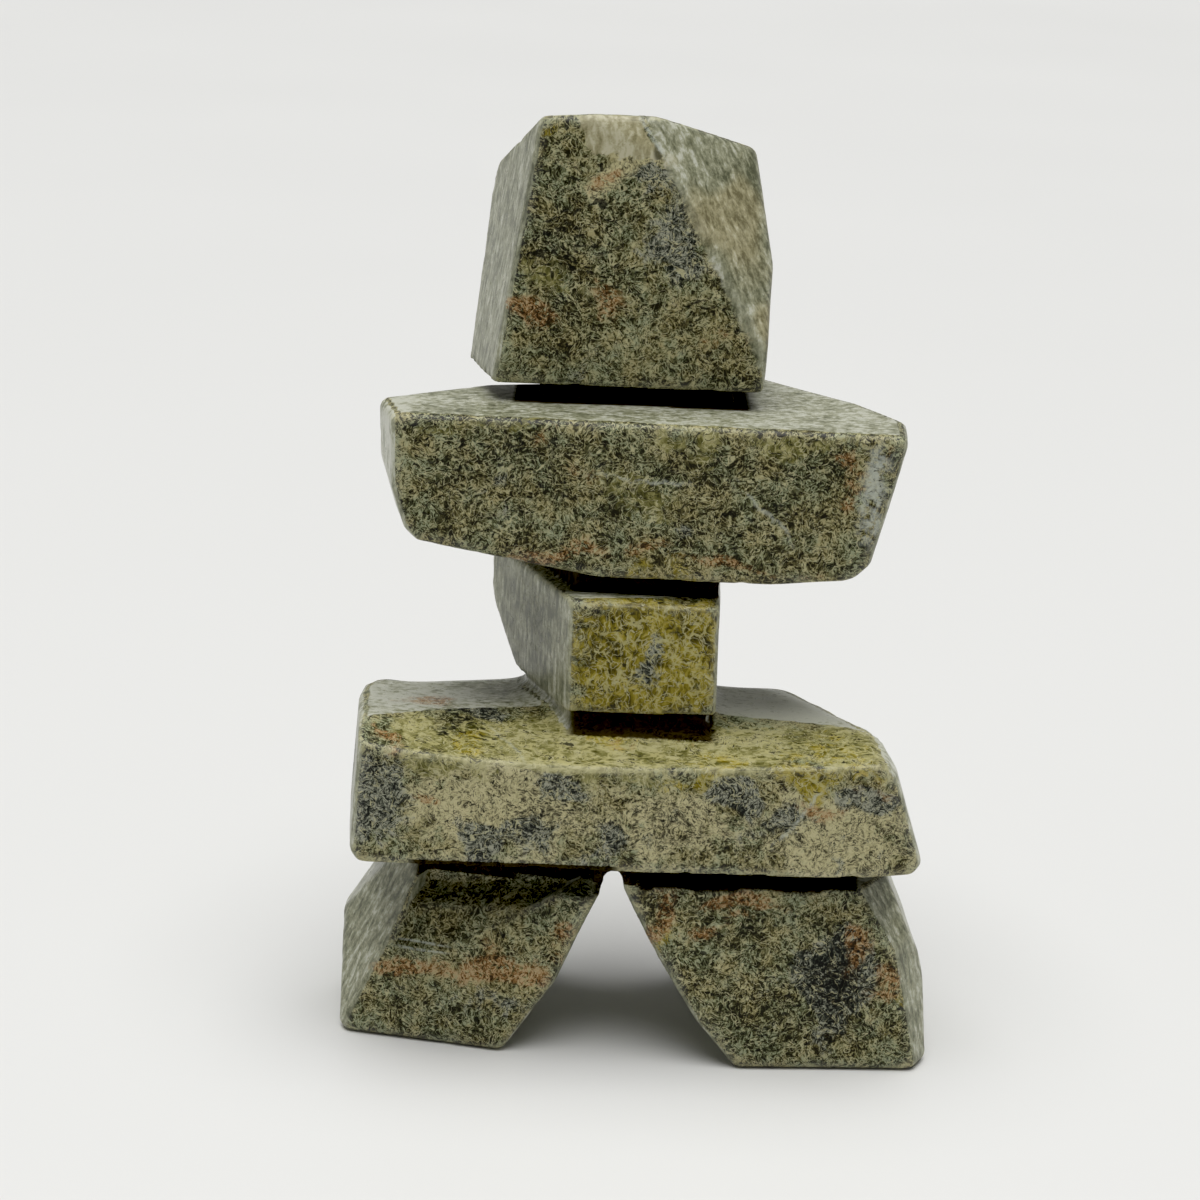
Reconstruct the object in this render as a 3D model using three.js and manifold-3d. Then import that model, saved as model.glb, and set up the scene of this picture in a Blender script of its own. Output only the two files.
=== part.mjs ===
import * as THREE from 'three';
import { ConvexGeometry } from 'three/addons/geometries/ConvexGeometry.js';
import { mergeVertices } from 'three/addons/utils/BufferGeometryUtils.js';
import Module from 'manifold-3d';

// An inukshuk, the stone landmark in the shape of a standing figure, carved from one block of serpentine.
// Two legs, a body slab, a neck stone, an arm slab and a head are parted by saw cuts, and hang together
// by a core left standing inside each cut and a bridge of rock over the gap between the legs.
// Millimetres, Z up, the front faces -Y.

const wasm = await Module();
wasm.setup();

// Height of the whole figure, of the stones from the ground up, and of the saw cuts between them.
// The head takes up what the rest leaves.
const figureHeight = 151.2;
const legHeight = 31;
const bodyHeight = 21.3;
const neckHeight = 18.8;
const armsHeight = 25.2;
const legsCut = 3;
const neckCut = 2.3;
const armsCut = 3;
const headCut = 3;

const bodyBottom = legHeight + legsCut;
const neckBottom = bodyBottom + bodyHeight + neckCut;
const armsBottom = neckBottom + neckHeight + armsCut;
const headBottom = armsBottom + armsHeight + headCut;
const headHeight = figureHeight - headBottom;

// Radius of the edges that were ground by hand. Sawn edges are left sharp.
const softEdge = 1.5;
const crispEdge = 0.8;

// How far the core in each cut stands in from the sides of the stones that it joins.
const leftLegCore = { front: 4.5, back: 3, left: 3, right: 2 };
const rightLegCore = { front: 2.5, back: 3, left: 0.7, right: 3 };
const neckCore = { front: 1.5, back: 3, left: 1, right: 1.6 };
const armsCore = { front: 3.5, back: 4, left: 2.6, right: 0.4 };
const headCore = { front: 4.5, back: 6, left: 10, right: 4.7 };

// Between the legs the rock was left uncut, and the gap below it ends in a rounded arch.
// The front of this bridge looks along bearing and stands at y in its middle.
// The arch springs from both legs at one height and is highest at crown. Lean draws its left side in.
const bridge = { x: 3.85, width: 6.5, front: -27.4, back: 5, bearing: -12 };
const arch = {
  left: 1.5,
  right: 5.45,
  lean: 0.6,
  spring: legHeight - 1.5,
  crown: 4.2,
  top: legHeight + 2.1,
};

// How far a core reaches into both stones: further where the face that it meets slopes or is hollow.
const biteIntoFlat = 0.5;
const biteIntoSlope = 4;

// A stone is a box with its middle at x, y, ground down to flat facets.
// A facet looks along bearing, in degrees from the front towards +X, and up by slope.
// It passes through the point x, y, z, given in half widths, half depths and heights of the stone.
const leftLeg = {
  width: 44,
  depth: 33,
  height: legHeight,
  x: -19,
  y: -7.5,
  bottom: 0,
  edge: softEdge,
  sawnAbove: true,
  facets: [
    { bearing: -12, slope: 7, x: -0.1, y: -1.08, z: 0 },
    { bearing: -60, slope: 23, x: -0.48, y: -0.74, z: 0.8 },
    { bearing: -90, slope: -3, x: -1, y: 0, z: 0 },
    { bearing: -92, slope: 25, x: -0.965, y: 0, z: 0.68 },
    { bearing: -92, slope: 36, x: -0.7, y: 0, z: 0.84 },
    { bearing: 90, slope: -33.6, x: 0.455, y: 0, z: 0.226 },
    { bearing: 90, slope: -24, x: 0.845, y: 0, z: 0.758 },
    { bearing: 178, slope: 4, x: 0, y: 1, z: 0 },
    { bearing: -138, slope: 6, x: -0.8, y: 0.8, z: 0 },
    { bearing: 0, slope: -90, x: 0, y: 0, z: 0 },
  ],
};

// The front of the left leg was ground back below the slab, with a step to the left of the ground part.
// Each patch is the solid to take away, in the leg's own half widths, half depths and heights, so its
// facets look into the rock. The first is a shallow face above a ledge, and the others slope up to the core.
const patchStep = { bearing: -115, slope: 14, x: -0.449, y: -0.73, z: 0.852 };
const patchFront = { bearing: -12, slope: 7, x: -0.1, y: -1.2, z: 0 };
const patchSlant = { bearing: 67, slope: -57, x: 0.555, y: -1.057, z: 0.877 };
const leftLegPatches = [
  [
    { bearing: 163, slope: -16.5, x: 0.56, y: -1.028, z: 0.876 },
    { bearing: 156, slope: -45, x: -0.604, y: -0.827, z: 0.477 },
    patchSlant,
  ],
  [
    { bearing: 154.5, slope: -60, x: 0.205, y: -0.984, z: 0.768 },
    patchSlant,
  ],
  [
    { bearing: 168, slope: -60, x: 0.646, y: -1.081, z: 0.887 },
    { bearing: 90, slope: 0, x: 1.2, y: 0, z: 0 },
  ],
];

const rightLeg = {
  width: 52,
  depth: 39,
  height: legHeight,
  x: 30,
  y: -9.5,
  bottom: 0,
  edge: softEdge,
  sawnAbove: true,
  facets: [
    { bearing: 3, slope: 5, x: 0.06, y: -1.04, z: 0 },
    { bearing: 55, slope: 28, x: 0.675, y: -0.9, z: 0.76 },
    { bearing: 60, slope: 13, x: 0.87, y: -0.86, z: 0.36 },
    { bearing: 92, slope: 3, x: 1, y: -0.5, z: 0.1 },
    { bearing: 92, slope: 14, x: 0.966, y: -0.5, z: 0.48 },
    { bearing: 92, slope: 24, x: 0.838, y: -0.5, z: 0.76 },
    { bearing: -90, slope: -40, x: -0.327, y: 0, z: 0.123 },
    { bearing: -90, slope: -32, x: -0.688, y: 0, z: 0.561 },
    { bearing: -90, slope: -26, x: -0.904, y: 0, z: 0.903 },
    { bearing: 180, slope: 5, x: 0, y: 1, z: 0 },
    { bearing: 135, slope: 6, x: 0.8, y: 0.8, z: 0 },
    { bearing: 0, slope: -90, x: 0, y: 0, z: 0 },
  ],
};

const body = {
  width: 92,
  depth: 40,
  height: bodyHeight,
  x: 6.5,
  y: -10,
  bottom: bodyBottom,
  edge: softEdge,
  sawnBelow: true,
  facets: [
    { bearing: 0, slope: 0, x: 0, y: -1, z: 0.5 },
    { bearing: -84, slope: -32, x: -0.977, y: -1, z: 0.085 },
    { bearing: -85, slope: 4, x: -0.988, y: -0.635, z: 0.28 },
    { bearing: -93, slope: 5, x: -0.996, y: 0.11, z: 1 },
    { bearing: -130, slope: 5, x: -0.98, y: 0.6, z: 1 },
    { bearing: -165, slope: 4, x: -0.63, y: 0.82, z: 0.97 },
    { bearing: 176, slope: 4, x: 0.315, y: 0.9, z: 0.97 },
    { bearing: 117, slope: 10, x: 0.7, y: 0.2, z: 1 },
    { bearing: 85, slope: 11, x: 0.995, y: -0.9, z: 0.3 },
    { bearing: 88, slope: 18.5, x: 0.928, y: -0.9, z: 0.66 },
    { bearing: 88, slope: 36, x: 0.853, y: -0.9, z: 0.96 },
    { bearing: 86, slope: -37, x: 1, y: -0.9, z: 0.105 },
    { bearing: 88, slope: -84, x: 0.8, y: -0.9, z: 0 },
    { bearing: 180, slope: 86, x: 0, y: 0, z: 1 },
  ],
};

// A shallow hollow is ground into the body's top. It is deepest at the front and fades out to the back.
// Seen from the front it is one curve: each point is given in half widths and in heights below the top.
const hollow = {
  left: { x: -1.054, drop: -0.014 },
  pull: { x: -0.446, drop: 0.333 },
  right: { x: 1.076, drop: 0.042 },
  rise: 11.5,
};

const neck = {
  width: 38,
  depth: 35,
  height: neckHeight,
  x: 1,
  y: -3.5,
  bottom: neckBottom,
  edge: crispEdge,
  sawnBelow: true,
  facets: [
    { bearing: 2, slope: 0, x: 0.1, y: -1, z: 0 },
    { bearing: -68, slope: 0, x: -0.3, y: -1, z: 0.5 },
    { bearing: -90, slope: -12, x: -1.06, y: 0.5, z: 0.75 },
    { bearing: -90, slope: -28, x: -0.98, y: 0.5, z: 0.4 },
    { bearing: 88, slope: 0, x: 0.955, y: -1, z: 0.5 },
    { bearing: 178, slope: 2, x: 0, y: 1, z: 0 },
    { bearing: 8, slope: 74, x: -0.2, y: -0.99, z: 0.984 },
    { bearing: 180, slope: 90, x: 0, y: 0, z: 1 },
  ],
};

const arms = {
  width: 85,
  depth: 40,
  height: armsHeight,
  x: 5.75,
  y: 1,
  bottom: armsBottom,
  edge: softEdge,
  facets: [
    { bearing: -3, slope: 1, x: -0.09, y: -0.985, z: 1 },
    { bearing: -76, slope: -2, x: -0.975, y: -0.5, z: 1 },
    { bearing: -80, slope: -17, x: -0.962, y: -0.65, z: 0.63 },
    { bearing: -80, slope: -45, x: -0.87, y: -0.85, z: 0.25 },
    { bearing: -88, slope: -81, x: -0.418, y: -0.9, z: 0.072 },
    { bearing: -143, slope: 0, x: -0.785, y: 0.08, z: 1 },
    { bearing: -163, slope: 3, x: -0.135, y: 0.67, z: 1 },
    { bearing: 129, slope: 0, x: 0.655, y: 0.59, z: 1 },
    { bearing: 117, slope: 0, x: 0.9, y: -0.15, z: 1 },
    { bearing: 86, slope: -14, x: 0.987, y: -0.8, z: 0.95 },
    { bearing: 86, slope: -45, x: 0.853, y: -0.89, z: 0.14 },
    { bearing: 86, slope: -66, x: 0.8, y: -0.9, z: 0.065 },
    { bearing: 88, slope: -84, x: 0.57, y: 0, z: 0.01 },
    { bearing: 0, slope: -90, x: 0, y: 0, z: 0 },
    { bearing: 0, slope: 90, x: 0, y: 0, z: 1 },
  ],
};

const head = {
  width: 50,
  depth: 27,
  height: headHeight,
  x: 2,
  y: 7.5,
  bottom: headBottom,
  edge: softEdge,
  sawnBelow: true,
  facets: [
    { bearing: -1.6, slope: 1.5, x: -0.8, y: -0.955, z: 0 },
    { bearing: -75.2, slope: 9, x: -0.816, y: -0.955, z: 0 },
    { bearing: 10, slope: 22, x: 0.24, y: -0.938, z: 0.835 },
    { bearing: 42, slope: 23, x: 0.1, y: -0.95, z: 0.95 },
    { bearing: 90, slope: 11, x: 0.96, y: 0, z: 0.45 },
    { bearing: 90, slope: -3, x: 0.965, y: 0, z: 0.45 },
    { bearing: -174, slope: 66, x: -0.16, y: -0.93, z: 1.01 },
    { bearing: 168, slope: 68, x: 0.06, y: -0.93, z: 1.02 },
    { bearing: 110, slope: 58, x: 0.56, y: -0.4, z: 0.965 },
    { bearing: 178, slope: 3, x: 0, y: 1, z: 0 },
    { bearing: -140, slope: -4.7, x: -1.03, y: 0.42, z: 0 },
    { bearing: -140, slope: 20, x: -0.935, y: 0.85, z: 0.62 },
    { bearing: 135, slope: 8, x: 0.93, y: 0.5, z: 0.4 },
  ],
};

// Points closer than this, in millimetres, are one point.
const samePoint = 1e-4;
const onThePlane = 1e-6;

// Three facets whose directions span less than this are taken not to meet.
const leastSpan = 1e-4;

// Facets steeper than this, in degrees, are tops and undersides: a core doesn't follow them.
const steepestSide = 60;

// A rounded edge is one flat strip for every so many degrees that it turns.
const fanStep = THREE.MathUtils.degToRad(25);

// Unit vector of a bearing and a slope.
function direction(bearing, slope) {
  const turn = THREE.MathUtils.degToRad(bearing);
  const rise = THREE.MathUtils.degToRad(slope);
  return new THREE.Vector3(
    Math.sin(turn) * Math.cos(rise),
    -Math.cos(turn) * Math.cos(rise),
    Math.sin(rise),
  );
}

function facetPlanes(stone) {
  return stone.facets.map((facet) => {
    const point = new THREE.Vector3(
      stone.x + facet.x * stone.width / 2,
      stone.y + facet.y * stone.depth / 2,
      stone.bottom + facet.z * stone.height,
    );
    return new THREE.Plane().setFromNormalAndCoplanarPoint(direction(facet.bearing, facet.slope), point);
  });
}

// Point where three planes meet, or null where they hardly do.
function meetingPoint(first, second, third) {
  const matrix = new THREE.Matrix3().set(
    ...first.normal.toArray(),
    ...second.normal.toArray(),
    ...third.normal.toArray(),
  );
  if (Math.abs(matrix.determinant()) < leastSpan) {
    return null;
  }
  return new THREE.Vector3(-first.constant, -second.constant, -third.constant).applyMatrix3(matrix.invert());
}

// Corners of the convex solid behind all the planes, each with the three planes that make it.
function convexCorners(planes) {
  const corners = [];
  for (let i = 0; i < planes.length; i += 1) {
    for (let j = i + 1; j < planes.length; j += 1) {
      for (let k = j + 1; k < planes.length; k += 1) {
        const point = meetingPoint(planes[i], planes[j], planes[k]);
        if (point && planes.every((plane) => plane.distanceToPoint(point) < onThePlane)) {
          corners.push({ point, planes: [planes[i], planes[j], planes[k]] });
        }
      }
    }
  }
  return corners;
}

// Directions from a rounded corner: square to each facet, and fanned out between each two.
function cornerDirections(planes) {
  const normals = planes.map((plane) => plane.normal);
  const directions = [...normals];
  directions.push(normals[0].clone().add(normals[1]).add(normals[2]).normalize());
  for (let i = 0; i < normals.length; i += 1) {
    const from = normals[i];
    const to = normals[(i + 1) % normals.length];
    const steps = Math.ceil(from.angleTo(to) / fanStep);
    for (let step = 1; step < steps; step += 1) {
      directions.push(from.clone().lerp(to, step / steps).normalize());
    }
  }
  return directions;
}

// A closed geometry as a solid that can be joined and cut.
function solidFrom(geometry) {
  geometry.deleteAttribute('normal');
  geometry.deleteAttribute('uv');
  const merged = mergeVertices(geometry, samePoint);
  return new wasm.Manifold(new wasm.Mesh({
    numProp: 3,
    vertProperties: merged.attributes.position.array,
    triVerts: merged.index.array,
  }));
}

// Convex solid behind all the planes, its edges sharp.
function sharpSolid(planes) {
  return solidFrom(new ConvexGeometry(convexCorners(planes).map((corner) => corner.point)));
}

// Convex solid behind all the planes, its edges rounded to a radius.
function roundedSolid(planes, radius) {
  const inner = planes.map((plane) => new THREE.Plane(plane.normal, plane.constant + radius));
  const points = convexCorners(inner).flatMap((corner) =>
    cornerDirections(corner.planes).map((way) => corner.point.clone().addScaledVector(way, radius)));
  return solidFrom(new ConvexGeometry(points));
}

const level = (height, facing) => new THREE.Plane(new THREE.Vector3(0, 0, facing), -facing * height);

// Everything between two heights, wider than the figure.
function sawnLayer(from, to) {
  const reach = 2 * (body.width + arms.width);
  const layer = new THREE.BoxGeometry(reach, reach, to - from);
  layer.translate(0, 0, (from + to) / 2);
  return solidFrom(layer);
}

function stoneSolid(stone) {
  const planes = facetPlanes(stone);
  const top = stone.bottom + stone.height;
  const spare = 2 * stone.edge;
  if (stone.sawnBelow) {
    planes.push(level(stone.bottom - spare, -1));
  }
  if (stone.sawnAbove) {
    planes.push(level(top + spare, 1));
  }
  const lowest = stone.sawnBelow ? stone.bottom : stone.bottom - spare;
  const highest = stone.sawnAbove ? top : top + 2 * spare;
  return roundedSolid(planes, stone.edge).intersect(sawnLayer(lowest, highest));
}

// Everything above the curve of the body's hollow, from its front edge to behind its back.
function hollowSolid() {
  const across = (point) => point.x * body.width / 2;
  const up = (point) => -point.drop * body.height;
  const profile = new THREE.Shape();
  profile.moveTo(across(hollow.left), up(hollow.left));
  profile.quadraticCurveTo(
    across(hollow.pull),
    up(hollow.pull),
    across(hollow.right),
    up(hollow.right),
  );
  profile.lineTo(across(hollow.right), body.height);
  profile.lineTo(across(hollow.left), body.height);
  const inFront = body.depth / 2;
  const behind = 1.5 * body.depth;
  const sweep = { depth: inFront + behind, curveSegments: 28, bevelEnabled: false };
  const cutter = new THREE.ExtrudeGeometry(profile, sweep);
  cutter.translate(0, 0, -behind);
  cutter.rotateX(Math.PI / 2 + THREE.MathUtils.degToRad(hollow.rise));
  cutter.translate(body.x, body.y - body.depth / 2, body.bottom + body.height);
  return solidFrom(cutter);
}

// Upright sides of a stone at a height, each moved in by the recess of the way it looks.
function corePlanes(stone, height, recess) {
  const leastSpread = Math.cos(THREE.MathUtils.degToRad(steepestSide));
  return facetPlanes(stone)
    .filter((plane) => Math.hypot(plane.normal.x, plane.normal.y) > leastSpread)
    .map((plane) => {
      const spread = Math.hypot(plane.normal.x, plane.normal.y);
      const side = new THREE.Vector3(plane.normal.x / spread, plane.normal.y / spread, 0);
      const inward = side.x ** 2 * (side.x > 0 ? recess.right : recess.left)
        + side.y ** 2 * (side.y > 0 ? recess.back : recess.front);
      return new THREE.Plane(side, (plane.constant + plane.normal.z * height) / spread + inward);
    });
}

// The rock that was ground off the left leg in one patch, from its front to the core.
function patchSolid(facets) {
  const patch = { ...leftLeg, facets: [...facets, patchStep, patchFront] };
  const [coreFront] = corePlanes(leftLeg, legHeight + legsCut / 2, leftLegCore);
  const above = legHeight + 2 * leftLeg.edge;
  return sharpSolid([...facetPlanes(patch), coreFront.negate(), level(above, 1)]);
}

// The core that was left standing in the cut between two stones, reaching into both by bite.
function coreSolid({ lower, upper, recess, bite }) {
  const from = lower.bottom + lower.height;
  const to = upper.bottom;
  const middle = (from + to) / 2;
  const planes = [
    ...corePlanes(lower, middle, recess),
    ...corePlanes(upper, middle, recess),
    level(from - bite, -1),
    level(to + bite, 1),
  ];
  return sharpSolid(planes);
}

// The uncut rock that joins both legs to the body.
function bridgeSolid() {
  const side = (bearing, x, y) =>
    new THREE.Plane().setFromNormalAndCoplanarPoint(direction(bearing, 0), new THREE.Vector3(x, y, 0));
  const planes = [
    side(bridge.bearing, bridge.x, bridge.front),
    side(90, bridge.x + bridge.width / 2, 0),
    side(-90, bridge.x - bridge.width / 2, 0),
    side(180, 0, bridge.back),
    level(legHeight - biteIntoFlat, -1),
    level(bodyBottom + biteIntoFlat, 1),
  ];
  return sharpSolid(planes);
}

// The rounded head of the gap between the legs, from front to back.
function archSolid() {
  const profile = new THREE.Shape();
  profile.moveTo(arch.left, arch.spring);
  profile.quadraticCurveTo(arch.left + arch.lean, arch.top, arch.crown, arch.top);
  profile.quadraticCurveTo(arch.right, arch.top, arch.right, arch.spring);
  const depth = 2 * body.depth;
  const cutter = new THREE.ExtrudeGeometry(profile, { depth, curveSegments: 8, bevelEnabled: false });
  cutter.translate(0, 0, -depth / 2);
  cutter.rotateX(Math.PI / 2);
  return solidFrom(cutter);
}

const cores = [
  { lower: leftLeg, upper: body, recess: leftLegCore, bite: biteIntoFlat },
  { lower: rightLeg, upper: body, recess: rightLegCore, bite: biteIntoFlat },
  { lower: body, upper: neck, recess: neckCore, bite: biteIntoSlope },
  { lower: neck, upper: arms, recess: armsCore, bite: biteIntoSlope },
  { lower: arms, upper: head, recess: headCore, bite: biteIntoFlat },
];

const stones = [rightLeg, neck, arms, head].map(stoneSolid);
const groundLeg = leftLegPatches.map(patchSolid)
  .reduce((leg, patch) => leg.subtract(patch), stoneSolid(leftLeg));
const hollowedBody = stoneSolid(body).subtract(hollowSolid());
const joints = [...cores.map(coreSolid), bridgeSolid()];
const joined = [groundLeg, ...stones, ...joints].reduce((sum, solid) => sum.add(solid), hollowedBody);
const whole = joined.subtract(archSolid());

const carved = whole.getMesh();
const geometry = new THREE.BufferGeometry();
geometry.setAttribute('position', new THREE.BufferAttribute(carved.vertProperties, 3));
geometry.setIndex(new THREE.BufferAttribute(carved.triVerts, 1));

// The origin is on the ground, under the middle of the figure.
geometry.computeBoundingBox();
const centre = geometry.boundingBox.getCenter(new THREE.Vector3());
geometry.translate(-centre.x, -centre.y, -geometry.boundingBox.min.z);

const serpentine = new THREE.MeshStandardMaterial({ color: 0x6f7552, roughness: 0.35, metalness: 0 });
const inukshuk = new THREE.Mesh(geometry, serpentine);
inukshuk.name = 'inukshuk';

const sculpture = new THREE.Group();
sculpture.add(inukshuk);

export default sculpture;
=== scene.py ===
import math

import bpy
import numpy as np
from mathutils import Euler, Matrix, Vector, noise
from mathutils.bvhtree import BVHTree


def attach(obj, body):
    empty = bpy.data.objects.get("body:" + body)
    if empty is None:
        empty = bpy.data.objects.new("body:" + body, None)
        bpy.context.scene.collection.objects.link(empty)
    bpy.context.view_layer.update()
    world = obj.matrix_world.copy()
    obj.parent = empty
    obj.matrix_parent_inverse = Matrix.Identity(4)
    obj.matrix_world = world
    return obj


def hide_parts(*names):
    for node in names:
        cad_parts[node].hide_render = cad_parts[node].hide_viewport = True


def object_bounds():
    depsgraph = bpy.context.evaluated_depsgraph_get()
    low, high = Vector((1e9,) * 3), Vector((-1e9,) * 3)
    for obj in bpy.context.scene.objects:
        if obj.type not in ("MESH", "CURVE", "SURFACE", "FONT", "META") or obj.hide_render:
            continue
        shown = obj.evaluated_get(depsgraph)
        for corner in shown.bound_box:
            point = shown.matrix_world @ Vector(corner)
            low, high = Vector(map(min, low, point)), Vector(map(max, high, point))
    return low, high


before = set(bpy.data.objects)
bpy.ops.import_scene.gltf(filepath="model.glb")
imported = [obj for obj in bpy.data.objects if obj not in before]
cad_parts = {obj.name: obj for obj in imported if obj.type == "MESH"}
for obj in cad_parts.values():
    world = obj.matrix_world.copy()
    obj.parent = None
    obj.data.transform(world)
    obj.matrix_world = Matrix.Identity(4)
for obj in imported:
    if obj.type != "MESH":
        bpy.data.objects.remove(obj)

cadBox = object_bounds()
mm = 0.001
print("frame loaded")


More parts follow.
